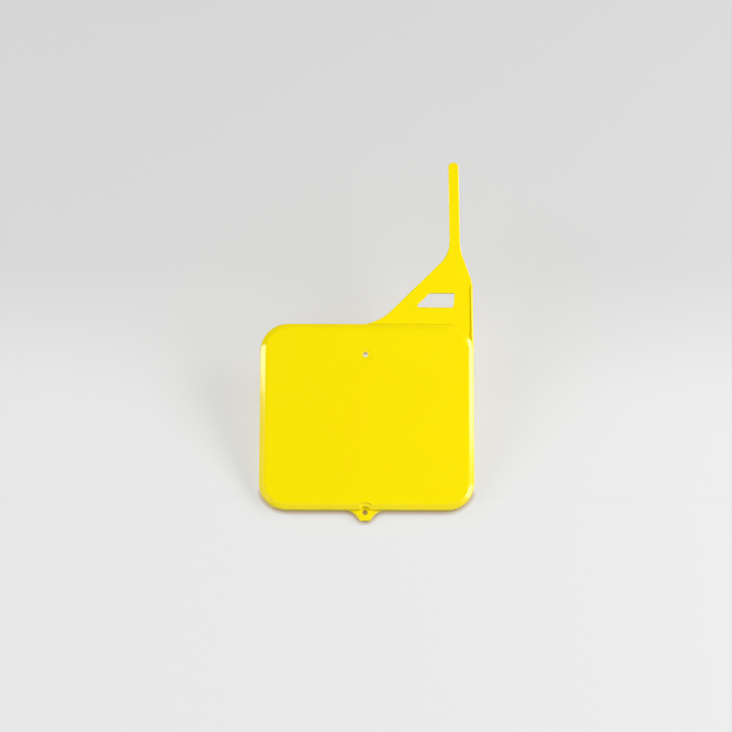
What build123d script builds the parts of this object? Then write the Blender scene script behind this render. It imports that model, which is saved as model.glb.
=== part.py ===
from build123d import *
from math import atan2, degrees, radians, tan
import os

# A racing number board, moulded in one piece: a shallow tray with a flat face and a sloping rim, a sleeve for
# the upper bolt, a tab for the lower bolt that sits in a scoop under the rim, and an arm with a cable window
# that runs up into a handlebar strap.
#
# Frame: X to the right and Z up as seen from the front, Y to the back. The board bolts on against the plane
# Y = 0 and stands forward of it, towards -Y. The origin is where the upper bolt's axis meets that plane.
# Sizes are in millimetres and angles in degrees. A height is measured forward from the mounting plane.

# Panel
panel_width = 250.0
panel_height = 221.0
panel_depth = 13.5
panel_above_bolt = 37.5
panel_shift = 1.7
corner_radius = 33.0
rim_width = 6.1
rim_drop = 3.0
rim_face_radius = 8.0
rim_edge_radius = 1.5
wall = 2.5
draft_angle = 3.0
rear_edge_bevel = 0.5

# Upper bolt
bolt_hole_diameter = 6.4
sleeve_diameter = 14.0
dimple_diameter = 16.5
seat_diameter = 11.0
dimple_depth = 0.7
dimple_edge_radius = 3.0
sleeve_root_bevel = 1.0

# Lower bolt tab
tab_bolt_below_edge = 2.0
tab_end_below_bolt = 9.8
tab_end_width = 11.0
tab_root_width = 29.0
tab_thickness = 7.5
tab_root_radius = 20.0
tab_end_radius = 3.0
tab_edge_radius = 1.5

# Scoop above the tab: a shallow dish round the bolt, and a well in it for the bolt's head
dish_rim_radius = 11.0
dish_radius = 10.3
dish_depth = 1.3
well_rim_radius = 6.9
well_rim_depth = 2.3
well_foot_radius = 5.7
scoop_edge_radius = 0.5

# Arm
arm_step = 5.5
arm_thickness = 3.0
arm_inset = 1.7
limb_root = 12.7
limb_width = 16.9
limb_root_radius = 60.0
shoulder_height = 88.1
shoulder_radius = 30.0
arm_edge_radius = 1.0
crease_radius = 1.0

# Strap
strap_top = 234.0
strap_inner_foot = 122.3
strap_outer_foot = 127.0
strap_top_width = 12.4
strap_foot_width = 12.7
strap_top_inset = 23.7
strap_foot_inset = 22.1
strap_inner_radius = 36.0
strap_outer_radius = 66.0

# Cable window in the arm
window_bottom = 57.9
window_top = 74.7
window_side_width = 21.85
window_lean = 7.0
window_radius = 2.0

# Side wall that stiffens the arm's outer edge
side_wall_inset = 0.05
side_wall_lean = 0.6
side_wall_width = 3.0
side_wall_rise = 1.2
side_wall_taper = 6.0
side_wall_below_shoulder = 1.5
side_wall_outer_radius = 1.9
side_wall_inner_radius = 0.5

# How far one form runs into the next so that they join, and how near counts as the same place
overlap = 1.0
nearly = 0.01

panel_top = panel_above_bolt
panel_bottom = panel_top - panel_height
panel_right = panel_shift + panel_width / 2
panel_middle = (panel_shift, panel_top - panel_height / 2)
arm_face = panel_depth - arm_step
arm_back = arm_face - arm_thickness
arm_edge = panel_right - arm_inset
arm_low = panel_top - corner_radius
tab_bolt = panel_bottom - tab_bolt_below_edge
tab_end = tab_bolt - tab_end_below_bolt


def front(height=0.0):
    """A sketch plane that faces forward at a height above the mounting plane, with X right and Z up."""
    return Plane.XZ.offset(height)


def tray_block(inset):
    """The panel's solid form with its sloping rim, taken in by an inset on its edge, slope and face."""
    outline = RectangleRounded(panel_width - 2 * inset, panel_height - 2 * inset, corner_radius - inset)
    block = extrude(front() * Pos(*panel_middle) * outline, panel_depth - inset)
    sides = block.faces().sort_by(Axis.Y)[1:-1]
    block = draft(sides, front(), draft_angle)
    face = block.faces().sort_by(Axis.Y)[0]
    turn = 90 - draft_angle
    slope = degrees(atan2(rim_drop, rim_width))
    width = rim_width - inset * (tan(radians(turn / 2)) - tan(radians(slope / 2)))
    drop = rim_drop - inset * (tan(radians(turn / 2)) - tan(radians((turn - slope) / 2)))
    block = chamfer(face.edges(), width, drop, reference=face)
    if rim_edge_radius > inset:
        block = fillet(block.edges().group_by(Axis.Y)[2], rim_edge_radius - inset)
    return fillet(block.faces().sort_by(Axis.Y)[0].edges(), rim_face_radius - inset)


def seam(height, joined, *forms):
    """The edges at one height where forms have newly met in the joined solid."""
    edges = new_edges(*forms, combined=joined)
    return edges.filter_by_position(Axis.Y, -height - nearly, -height + nearly)


def plate(outline, back, thickness, edge_radius):
    """A flat moulded plate, rounded along its front edges and crisp along the parting line at its back."""
    slab = extrude(front(back) * outline, thickness)
    return fillet(slab.faces().sort_by(Axis.Y)[0].edges(), edge_radius)


def turned(z, profile):
    """A form turned round a bolt's axis from its radius and height at each corner of the profile."""
    half = make_face(Polyline(*[(radius, -height, z) for radius, height in profile], close=True))
    return revolve(half, Axis((0, 0, z), (0, -1, 0)))


def rounded(points, radii):
    """A filled outline through corner points, with the named corners rounded."""
    face = make_face(Polyline(*points, close=True))
    for corner, radius in radii:
        face = fillet(face.vertices().sort_by_distance((*corner, 0))[0], radius)
    return face


def arm_outline():
    """The arm and strap as seen from the front, running down into the panel's upper wall."""
    root = (limb_root, panel_top - overlap)
    inner_foot = (panel_right - strap_foot_inset - strap_foot_width / 2, strap_inner_foot)
    outer_foot = (panel_right - strap_foot_inset + strap_foot_width / 2, strap_outer_foot)
    inner_tip = (panel_right - strap_top_inset - strap_top_width / 2, strap_top)
    outer_tip = (panel_right - strap_top_inset + strap_top_width / 2, strap_top)
    shoulder = (arm_edge, shoulder_height)
    far_left = root[0] - limb_root_radius
    points = [(far_left, arm_low), (far_left, root[1]), root, inner_foot, inner_tip, outer_tip]
    points += [outer_foot, shoulder, (arm_edge, arm_low)]
    tip_radius = 0.49 * strap_top_width
    radii = [(root, limb_root_radius), (inner_foot, strap_inner_radius), (outer_foot, strap_outer_radius)]
    radii += [(inner_tip, tip_radius), (outer_tip, tip_radius), (shoulder, shoulder_radius)]
    return rounded(points, radii), Vector(*inner_foot) - Vector(*root), Vector(*root)


def window_outline(limb, root):
    """The cable window: its left side follows the limb, and its right side leans a little outwards."""
    across = Vector(limb.Y, -limb.X).normalized()
    start = root + across * limb_width
    right = arm_edge - window_side_width
    lean = (window_top - window_bottom) * tan(radians(window_lean)) / 2

    def left(z):
        return start.X + (z - start.Y) * limb.X / limb.Y

    points = [(left(window_bottom), window_bottom), (left(window_top), window_top)]
    points += [(right + lean, window_top), (right - lean, window_bottom)]
    return rounded(points, [(point, window_radius) for point in points])


def arm():
    """The arm with its window and strap."""
    outline, limb, root = arm_outline()
    return plate(outline - window_outline(limb, root), arm_back, arm_thickness, arm_edge_radius)


def side_wall():
    """The panel's side carried up the arm's outer edge as a low wall that ends under the shoulder."""
    base = panel_top - arm_low
    top = shoulder_height - side_wall_below_shoulder - arm_low
    crest = arm_face + side_wall_rise
    end = arm_face - arm_edge_radius / 2
    profile = [(0, 0), (base, 0), (top, arm_back), (top, end), (top - side_wall_taper, crest), (0, crest)]
    foot = (panel_right - side_wall_inset, 0, arm_low)
    outside = Plane(foot, x_dir=(0, 0, 1), z_dir=(1, 0, 0)).rotated((0, -side_wall_lean, 0))
    slab = extrude(outside * make_face(Polyline(*profile, close=True)), -side_wall_width)
    slab = draft(slab.faces().sort_by(Axis.X)[-1:], front(), draft_angle)
    for side, radius in ((-1, side_wall_outer_radius), (0, side_wall_inner_radius)):
        face = slab.faces().sort_by(Axis.X)[side]
        crest_edges = face.edges().filter_by(lambda edge: edge.center().Y < -end)
        slab = fillet(crest_edges, radius)
    return slab


def tab():
    """The lower bolt's tab, flowing out of the rim's lower edge."""
    root = panel_bottom + overlap
    half_root = tab_root_width / 2
    half_end = tab_end_width / 2
    reach = half_root + tab_root_radius
    inside = root + 2 * wall
    points = [(-reach, inside), (-reach, root), (-half_root, root), (-half_end, tab_end)]
    points += [(half_end, tab_end), (half_root, root), (reach, root), (reach, inside)]
    radii = [((-half_root, root), tab_root_radius), ((half_root, root), tab_root_radius)]
    radii += [((-half_end, tab_end), tab_end_radius), ((half_end, tab_end), tab_end_radius)]
    return plate(rounded(points, radii), 0, tab_thickness, tab_edge_radius)


def cylinder(z, back, length, radius):
    """A cylinder round a bolt's axis, from a height above the mounting plane forwards."""
    return front(back) * Pos(0, z, length / 2) * Cylinder(radius, length)


def shell():
    """The hollow tray with the arm, the side wall and the tab joined to it."""
    tray = tray_block(0)
    tray = chamfer(tray.faces().sort_by(Axis.Y)[-1].edges(), rear_edge_bevel)
    limb = arm()
    board = tray + limb
    board = fillet(seam(arm_face, board, tray, limb), crease_radius)
    board = board + side_wall() + tab() - tray_block(wall)
    rear = board.faces().sort_by(Axis.Y)[-1]
    return chamfer(rear.inner_wires()[0].edges(), rear_edge_bevel)


def with_sleeve(board):
    """Adds the upper bolt's sleeve, flared into the back of the panel."""
    sleeve = cylinder(0, 0, panel_depth - wall / 2, sleeve_diameter / 2)
    joined = board + sleeve
    return chamfer(seam(panel_depth - wall, joined, board, sleeve), sleeve_root_bevel)


def with_scoop(board):
    """Cuts the scoop that clears the lower bolt's head, and walls it in behind."""
    dish = panel_depth - dish_depth
    well = panel_depth - well_rim_depth
    backing = [(0, 0), (well_foot_radius + wall, 0), (well_rim_radius + wall, well - wall)]
    backing += [(dish_rim_radius + wall, dish - wall), (dish_rim_radius + wall, panel_depth)]
    backing += [(0, panel_depth)]
    board = board + (turned(tab_bolt, backing) & tray_block(0))
    over = panel_depth + overlap
    scoop = [(0, tab_thickness), (well_foot_radius, tab_thickness), (well_rim_radius, well)]
    scoop += [(dish_radius, dish), (dish_rim_radius, panel_depth), (dish_rim_radius, over), (0, over)]
    cut = board - turned(tab_bolt, scoop)
    for height in (dish, well, panel_depth):
        cut = fillet(seam(height, cut, board), scoop_edge_radius)
    return cut


def with_dimple(board):
    """Sinks the dimple that seats the upper bolt's head."""
    seat = panel_depth - dimple_depth
    profile = [(0, seat), (seat_diameter / 2, seat), (dimple_diameter / 2, panel_depth), (0, panel_depth)]
    cut = board - turned(0, profile)
    return fillet(seam(panel_depth, cut, board), dimple_edge_radius)


def number_board():
    """The whole moulding, with both bolt holes through it."""
    board = with_dimple(with_scoop(with_sleeve(shell())))
    for z in (0, tab_bolt):
        board = board - cylinder(z, -overlap, panel_depth + 2 * overlap, bolt_hole_diameter / 2)
    return board


os.makedirs("parts", exist_ok=True)
board = number_board()
export_step(board, "parts/number_board.step")
print("solids", len(board.solids()), "volume cm3", round(board.volume / 1000, 1))
print("box", board.bounding_box())
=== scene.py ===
"""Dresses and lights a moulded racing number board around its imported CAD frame."""

import logging
import math
from dataclasses import dataclass
from enum import Enum
from typing import Any

import bmesh
import bpy
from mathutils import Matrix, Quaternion, Vector

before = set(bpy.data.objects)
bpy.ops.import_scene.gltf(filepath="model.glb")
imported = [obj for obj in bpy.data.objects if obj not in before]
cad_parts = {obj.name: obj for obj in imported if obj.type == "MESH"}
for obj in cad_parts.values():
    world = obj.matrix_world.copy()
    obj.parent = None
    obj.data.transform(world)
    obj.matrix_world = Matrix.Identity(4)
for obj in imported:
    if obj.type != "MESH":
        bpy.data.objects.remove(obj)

logging.basicConfig(level=logging.INFO, format="%(message)s")
log = logging.getLogger("number_board")

MM = 0.001
WHITE = "#FFFFFF"


def linear(hex_colour: str) -> tuple[float, float, float, float]:
    """Turns an sRGB hex colour into the linear colour that shaders take.

    Args:
        hex_colour: Colour as "#RRGGBB".

    Returns:
        Linear red, green and blue, and an alpha of 1.
    """
    shares = [int(hex_colour[i : i + 2], 16) / 255 for i in (1, 3, 5)]
    red, green, blue = (s / 12.92 if s <= 0.04045 else ((s + 0.055) / 1.055) ** 2.4 for s in shares)
    return red, green, blue, 1.0


def per_metre(size_mm: float) -> float:
    """Gives the scale at which a pattern's marks are a number of millimetres wide."""
    return 1 / (size_mm * MM)


def add_node(
    tree: bpy.types.NodeTree, kind: str, inputs: dict[str | int, Any] | None = None, **settings: Any
) -> bpy.types.Node:
    """Adds a node, sets its options and feeds its inputs.

    Args:
        tree: Node tree that gets the node.
        kind: Blender's name for the type of node.
        inputs: A value or the socket that feeds it, for each input by name or index.
        **settings: Options of the node itself.

    Returns:
        The new node.
    """
    node = tree.nodes.new(kind)
    for name, value in settings.items():
        setattr(node, name, value)
    for key, value in (inputs or {}).items():
        if isinstance(value, bpy.types.NodeSocket):
            tree.links.new(value, node.inputs[key])
        else:
            node.inputs[key].default_value = value
    return node


def empty_material(name: str) -> tuple[bpy.types.Material, bpy.types.NodeTree]:
    """Makes a material with no nodes in it.

    Args:
        name: Name of the material.

    Returns:
        The material and its node tree.
    """
    material = bpy.data.materials.new(name)
    material.use_nodes = True
    material.node_tree.nodes.clear()
    return material, material.node_tree


def seen_rays(tree: bpy.types.NodeTree) -> bpy.types.NodeSocket:
    """Tells the rays that show a surface, straight, mirrored or through glass, from those that light one.

    Args:
        tree: Node tree that asks.

    Returns:
        A socket that is 1 for such a ray and 0 for the others.
    """
    path = add_node(tree, "ShaderNodeLightPath").outputs
    seen = path["Is Camera Ray"]
    for kind in ("Is Glossy Ray", "Is Transmission Ray"):
        seen = add_node(tree, "ShaderNodeMath", {0: seen, 1: path[kind]}, operation="MAXIMUM").outputs[0]
    return seen


class Side(Enum):
    """The side of the board, as seen from the front, that a lamp stands on."""

    LEFT = -1
    MIDDLE = 0
    RIGHT = 1


class Level(Enum):
    """Whether a lamp stands above or below the camera's line of sight."""

    HIGH = "high"
    LOW = "low"


class Axis(Enum):
    """An axis of the board's frame: to the right, to the back or up."""

    RIGHT = "X"
    BACK = "Y"
    UP = "Z"


@dataclass(frozen=True)
class MouldedPolypropylene:
    """Polypropylene moulded in a polished tool, with its colour all through it.

    The tool's polish gives soft, slightly wavy reflections, and the pigment is a little uneven
    where the melt flowed.
    """

    pigment: str = "#FBE605"
    flow_tint: str = "#F8E00A"
    ior: float = 1.49
    roughness_low: float = 0.07
    roughness_high: float = 0.11
    # Broad clouds of pigment, left by the melt as it filled the mould.
    flow_mm: float = 90.0
    flow_detail: float = 3.0
    flow_swirl: float = 0.8
    # Shallow waves of a skin that shrank as it cooled.
    peel_mm: float = 5.0
    peel_detail: float = 1.0
    peel_height_mm: float = 0.012
    # Fine marks of the tool's polish, drawn coarser than their real 0.2 mm or so, to show in the render.
    grain_mm: float = 1.6
    grain_detail: float = 2.0
    grain_height_mm: float = 0.004
    grain_smoothest: float = 0.3
    grain_roughest: float = 0.7

    def material(self) -> bpy.types.Material:
        """Builds the material on Object coordinates.

        Returns:
            The finished material.
        """
        material, tree = empty_material("moulded_polypropylene")
        place = add_node(tree, "ShaderNodeTexCoord").outputs["Object"]
        flow = add_node(
            tree,
            "ShaderNodeTexNoise",
            {
                "Vector": place,
                "Scale": per_metre(self.flow_mm),
                "Detail": self.flow_detail,
                "Distortion": self.flow_swirl,
            },
        )
        peel = add_node(
            tree,
            "ShaderNodeTexNoise",
            {"Vector": place, "Scale": per_metre(self.peel_mm), "Detail": self.peel_detail},
        )
        grain = add_node(
            tree,
            "ShaderNodeTexNoise",
            {"Vector": place, "Scale": per_metre(self.grain_mm), "Detail": self.grain_detail},
        )
        colour = add_node(
            tree,
            "ShaderNodeMix",
            {"Factor": flow.outputs["Fac"], "A": linear(self.pigment), "B": linear(self.flow_tint)},
            data_type="RGBA",
        )
        roughness = add_node(
            tree,
            "ShaderNodeMapRange",
            {
                "Value": grain.outputs["Fac"],
                "From Min": self.grain_smoothest,
                "From Max": self.grain_roughest,
                "To Min": self.roughness_low,
                "To Max": self.roughness_high,
            },
        )
        waves = add_node(
            tree,
            "ShaderNodeBump",
            {"Height": peel.outputs["Fac"], "Distance": self.peel_height_mm * MM},
        )
        surface = add_node(
            tree,
            "ShaderNodeBump",
            {
                "Height": grain.outputs["Fac"],
                "Distance": self.grain_height_mm * MM,
                "Normal": waves.outputs["Normal"],
            },
        )
        plastic = add_node(
            tree,
            "ShaderNodeBsdfPrincipled",
            {
                "Base Color": colour.outputs[2],
                "Roughness": roughness.outputs["Result"],
                "Normal": surface.outputs["Normal"],
                "IOR": self.ior,
            },
        )
        add_node(tree, "ShaderNodeOutputMaterial", {"Surface": plastic.outputs["BSDF"]})
        return material


@dataclass(frozen=True)
class MattPaper:
    """Matt background paper that scatters light evenly, with painted shade greying it from foot to head."""

    foot: str = "#E8E8E8"
    head: str = "#DADADA"
    # Heights, in metres, between which painted shade turns the foot's tone into the head's darker one.
    grade_from: float = -0.06
    grade_to: float = 0.18
    # Share of the paper's brightness, as it is seen, that is its own.
    glow: float = 0.64
    # Reach of the painted contact shadow, a soft dark line along the board's edges.
    contact_mm: float = 5.0
    # Painted warm bounce: tint of light thrown back by the board on paper close to it, full at this openness.
    thrown_back: str = "#FFC45A"
    hole_openness: float = 0.3
    # Darker tone towards the board, so that the paper adds little light to it.
    shade: str = "#4A4A4A"
    # Height, in metres, from which light passes through to the board's hollow back.
    clear_above: float = -0.2

    def material(self) -> bpy.types.Material:
        """Builds paper that shows from the front only, with a part of its brightness its own.

        Returns:
            The finished material.
        """
        material, tree = empty_material("matt_background_paper")
        seen = seen_rays(tree)
        place = add_node(tree, "ShaderNodeTexCoord").outputs["Object"]
        height = add_node(tree, "ShaderNodeSeparateXYZ", {"Vector": place}).outputs[Axis.UP.value]
        tone = self.tone(tree, seen, height)
        paper = add_node(tree, "ShaderNodeBsdfDiffuse", {"Color": tone})
        light = self.own_light(tree, tone)
        share = add_node(tree, "ShaderNodeMath", {0: seen, 1: self.glow}, operation="MULTIPLY")
        lit = add_node(
            tree,
            "ShaderNodeMixShader",
            {0: share.outputs[0], 1: paper.outputs["BSDF"], 2: light.outputs["Emission"]},
        )
        clear = add_node(tree, "ShaderNodeBsdfTransparent")
        mixed = add_node(
            tree,
            "ShaderNodeMixShader",
            {0: self.opacity(tree, seen, height), 1: clear.outputs["BSDF"], 2: lit.outputs["Shader"]},
        )
        add_node(tree, "ShaderNodeOutputMaterial", {"Surface": mixed.outputs["Shader"]})
        return material

    def tone(
        self, tree: bpy.types.NodeTree, seen: bpy.types.NodeSocket, height: bpy.types.NodeSocket
    ) -> bpy.types.NodeSocket:
        """Paints shade greying the seen paper towards its head, and keeps it dark where it only lights the
        board.

        Args:
            tree: Node tree of the paper.
            seen: Socket that is 1 for a ray that shows the paper.
            height: Socket with the height on the paper.

        Returns:
            A socket with the colour.
        """
        # Painted shade: the head is greyer, standing in for less light reaching the top of the paper.
        grade = add_node(
            tree,
            "ShaderNodeMapRange",
            {"Value": height, "From Min": self.grade_from, "From Max": self.grade_to},
            interpolation_type="SMOOTHSTEP",
        )
        painted_falloff = add_node(
            tree,
            "ShaderNodeMix",
            {"Factor": grade.outputs["Result"], "A": linear(self.foot), "B": linear(self.head)},
            data_type="RGBA",
        )
        tone = add_node(
            tree,
            "ShaderNodeMix",
            {"Factor": seen, "A": linear(self.shade), "B": painted_falloff.outputs[2]},
            data_type="RGBA",
        )
        return tone.outputs[2]

    def own_light(self, tree: bpy.types.NodeTree, tone: bpy.types.NodeSocket) -> bpy.types.Node:
        """Gives the paper its own light, fading and turning warm beside the board: painted contact shadow and
        bounce.

        Args:
            tree: Node tree of the paper.
            tone: Socket with the paper's colour.

        Returns:
            The node that gives the light.
        """
        reach = self.contact_mm * MM
        # Painted contact shadow: the paper's own light fades where the board closes it in.
        open_air = add_node(tree, "ShaderNodeAmbientOcclusion", {"Distance": reach}).outputs["AO"]
        clear_of_board = add_node(
            tree, "ShaderNodeMapRange", {"Value": open_air, "From Min": self.hole_openness}
        )
        # Painted bounce: a warm tint on the paper close to the board.
        painted_bounce_tint = add_node(
            tree,
            "ShaderNodeMix",
            {"Factor": clear_of_board.outputs["Result"], "A": linear(self.thrown_back), "B": linear(WHITE)},
            data_type="RGBA",
        )
        tinted = add_node(
            tree,
            "ShaderNodeMix",
            {"Factor": 1.0, "A": tone, "B": painted_bounce_tint.outputs[2]},
            data_type="RGBA",
            blend_type="MULTIPLY",
        )
        return add_node(tree, "ShaderNodeEmission", {"Color": tinted.outputs[2], "Strength": open_air})

    def opacity(
        self, tree: bpy.types.NodeTree, seen: bpy.types.NodeSocket, height: bpy.types.NodeSocket
    ) -> bpy.types.NodeSocket:
        """Shows the paper from the front only, and lets light through above the board's foot.

        Args:
            tree: Node tree of the paper.
            seen: Socket that is 1 for a ray that shows the paper.
            height: Socket with the height on the paper.

        Returns:
            A socket that is 1 where the paper is there for a ray.
        """
        behind = add_node(tree, "ShaderNodeNewGeometry").outputs["Backfacing"]
        facing = add_node(tree, "ShaderNodeMath", {0: 1.0, 1: behind}, operation="SUBTRACT")
        closed = add_node(tree, "ShaderNodeMath", {0: height, 1: self.clear_above}, operation="LESS_THAN")
        shown = add_node(
            tree,
            "ShaderNodeMix",
            {"Factor": seen, "A": closed.outputs[0], "B": facing.outputs[0]},
            data_type="FLOAT",
        )
        return shown.outputs[0]


@dataclass
class NumberBoard:
    """The one moulding: panel, rim, bolt sleeve, tab, arm and strap."""

    node: str = "number_board"
    finish: MouldedPolypropylene = MouldedPolypropylene()

    def dress(self) -> bpy.types.Object:
        """Gives the CAD node its finish.

        Returns:
            The dressed board.
        """
        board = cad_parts[self.node]
        board.material_slots[0].material = self.finish.material()
        return board


@dataclass
class Backdrop:
    """A sheet of background paper, upright behind the board's foot and bent back above a fold."""

    size: float = 10.0
    behind: float = 0.0005
    fold: float = -0.166
    lean_deg: float = 24.0
    fold_softness: float = 0.03
    fold_segments: int = 16
    paper: MattPaper = MattPaper()

    def build(self) -> bpy.types.Object:
        """Returns:
            The sheet.
        """
        bpy.ops.object.select_all(action="DESELECT")
        middle = (0.0, self.behind, self.fold - self.size / 2)
        upright = (math.pi / 2, 0.0, 0.0)
        bpy.ops.mesh.primitive_plane_add(size=self.size, location=middle, rotation=upright)
        sheet = bpy.context.object
        sheet.name = "backdrop"
        bpy.ops.object.transform_apply(location=True, rotation=True, scale=True)
        bpy.ops.object.mode_set(mode="EDIT")
        self.pick_edge(sheet)
        lean = math.radians(self.lean_deg)
        rise = (0.0, self.size * math.sin(lean), self.size * math.cos(lean))
        bpy.ops.mesh.extrude_edges_move(TRANSFORM_OT_translate={"value": rise})
        self.pick_edge(sheet)
        bpy.ops.mesh.bevel(
            offset=self.fold_softness, offset_type="OFFSET", segments=self.fold_segments, affect="EDGES"
        )
        bpy.ops.object.mode_set(mode="OBJECT")
        bpy.ops.object.shade_smooth()
        sheet.data.materials.append(self.paper.material())
        return sheet

    def pick_edge(self, sheet: bpy.types.Object) -> None:
        """Selects the edge along the fold.

        Args:
            sheet: The sheet, in edit mode.
        """
        mesh = bmesh.from_edit_mesh(sheet.data)
        for edge in mesh.edges:
            edge.select_set(all(abs(vertex.co.z - self.fold) < MM for vertex in edge.verts))
        mesh.select_flush_mode()
        bmesh.update_edit_mesh(sheet.data)


@dataclass
class SoftLamp:
    """A large soft box that stands upright and faces the board.

    Its place is in metres: out to its side, to the back and up.
    """

    side: Side
    level: Level
    watts: float
    place: tuple[float, float, float]
    width: float
    height: float
    mirrored: bool = True

    def build(self) -> bpy.types.Object:
        """Adds the lamp, turned towards the board.

        Returns:
            The lamp.
        """
        lamp = bpy.data.lights.new(f"soft_lamp_{self.level.value}_{self.side.name.lower()}", "AREA")
        lamp.energy = self.watts
        lamp.shape = "RECTANGLE"
        lamp.size = self.width
        lamp.size_y = self.height
        box = bpy.data.objects.new(lamp.name, lamp)
        across, back, up = self.place
        box.location = (across * self.side.value, back, up)
        level_aim = Vector((0.0, 0.0, up))
        box.rotation_euler = (level_aim - box.location).to_track_quat("-Z", "Y").to_euler()
        box.visible_camera = False
        box.visible_glossy = self.mirrored
        bpy.context.scene.collection.objects.link(box)
        return box


@dataclass(frozen=True)
class Band:
    """A smooth change of the room's brightness along an axis of the direction that is looked in."""

    axis: Axis
    start: float
    end: float
    from_level: float
    to_level: float


@dataclass
class StudioRoom:
    """The room round the stage: dark where the camera stands, overhead and straight below.

    Its sides are pale wherever they are seen.
    """

    colour: str = "#FAFAFA"
    front: Band = Band(Axis.BACK, -0.84, -0.6, 0.02, 1.0)
    below: Band = Band(Axis.UP, -0.5, -0.15, 0.05, 1.0)
    above: Band = Band(Axis.UP, 0.2, 0.45, 1.0, 0.06)
    sides: Band = Band(Axis.RIGHT, 0.46, 0.56, 0.0, 1.0)

    def build(self) -> bpy.types.World:
        """Makes the world and gives it to the scene.

        Returns:
            The world.
        """
        world = bpy.data.worlds.new("studio_room")
        world.use_nodes = True
        tree = world.node_tree
        tree.nodes.clear()
        glow = add_node(
            tree, "ShaderNodeBackground", {"Color": linear(self.colour), "Strength": self.brightness(tree)}
        )
        add_node(tree, "ShaderNodeOutputWorld", {"Surface": glow.outputs["Background"]})
        bpy.context.scene.world = world
        return world

    def brightness(self, tree: bpy.types.NodeTree) -> bpy.types.NodeSocket:
        """Works out how bright the room is in a direction.

        Args:
            tree: Node tree of the world.

        Returns:
            A socket with the brightness.
        """
        towards = add_node(tree, "ShaderNodeTexCoord").outputs["Generated"]
        parts = add_node(tree, "ShaderNodeSeparateXYZ", {"Vector": towards}).outputs
        out = add_node(tree, "ShaderNodeMath", {0: parts[Axis.RIGHT.value]}, operation="ABSOLUTE").outputs[0]
        levels = []
        for band in (self.front, self.below, self.above, self.sides):
            level = add_node(
                tree,
                "ShaderNodeMapRange",
                {
                    "Value": out if band.axis is Axis.RIGHT else parts[band.axis.value],
                    "From Min": band.start,
                    "From Max": band.end,
                    "To Min": band.from_level,
                    "To Max": band.to_level,
                },
                interpolation_type="SMOOTHSTEP",
            )
            levels.append(level.outputs["Result"])
        front, below, above, sides = levels
        ends = add_node(tree, "ShaderNodeMath", {0: front, 1: below}, operation="MULTIPLY").outputs[0]
        lighting = add_node(tree, "ShaderNodeMath", {0: ends, 1: above}, operation="MULTIPLY").outputs[0]
        walls = add_node(tree, "ShaderNodeMath", {0: sides, 1: above}, operation="MULTIPLY").outputs[0]
        seen = seen_rays(tree)
        shown = add_node(tree, "ShaderNodeMath", {0: walls, 1: seen}, operation="MULTIPLY").outputs[0]
        return add_node(tree, "ShaderNodeMath", {0: lighting, 1: shown}, operation="MAXIMUM").outputs[0]


@dataclass
class ViewCamera:
    """The camera at the photograph's angle: a long lens, a little below the board's middle."""

    aim: tuple[float, float, float] = (0.00048, -0.0135, -0.01403)
    elevation_deg: float = -12.0
    roll_deg: float = 0.2
    distance: float = 3.29
    lens_mm: float = 138.987
    sensor_mm: float = 36.0

    def build(self) -> bpy.types.Object:
        """Makes the camera and gives it to the scene.

        Returns:
            The camera.
        """
        data = bpy.data.cameras.new("view")
        data.sensor_width = self.sensor_mm
        data.lens = self.lens_mm
        camera = bpy.data.objects.new("view", data)
        rise = math.radians(self.elevation_deg)
        back = Vector((0.0, -math.cos(rise), math.sin(rise)))
        camera.location = Vector(self.aim) + back * self.distance
        roll = Quaternion((0.0, 0.0, 1.0), math.radians(self.roll_deg))
        camera.rotation_euler = ((-back).to_track_quat("-Z", "Y") @ roll).to_euler()
        bpy.context.scene.collection.objects.link(camera)
        bpy.context.scene.camera = camera
        return camera


def main() -> None:
    """Builds the scene and logs the names of what it dresses, stages and lights."""
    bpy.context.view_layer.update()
    bpy.context.scene.view_settings.view_transform = "Standard"
    ViewCamera().build()
    log.info("dressed %s", NumberBoard().dress().name)
    log.info("staged %s", Backdrop().build().name)
    StudioRoom().build()
    # Two high lamps draw the side rims' highlights and three low ones lift the lower slope. The low left
    # one isn't mirrored, so that the face keeps its colour from the right. The last lights the hollow back.
    lamps = (
        SoftLamp(Side.LEFT, Level.HIGH, watts=22.5, place=(2.0, -1.56, 0.715), width=1.5, height=0.5),
        SoftLamp(Side.RIGHT, Level.HIGH, watts=34.0, place=(2.0, -1.56, 0.97), width=0.9, height=1.26),
        SoftLamp(
            Side.LEFT, Level.LOW, watts=24.6, place=(2.0, -1.56, -1.15), width=3.0, height=0.9, mirrored=False
        ),
        SoftLamp(Side.RIGHT, Level.LOW, watts=34.3, place=(2.0, -1.56, -0.45), width=1.6, height=1.0),
        SoftLamp(Side.MIDDLE, Level.LOW, watts=6.5, place=(0.0, -2.2, -1.45), width=3.0, height=1.8),
        SoftLamp(Side.MIDDLE, Level.HIGH, watts=40.0, place=(0.0, 2.2, 1.2), width=0.24, height=1.5),
    )
    for lamp in lamps:
        log.info("lit by %s", lamp.build().name)


if __name__ == "__main__":
    main()
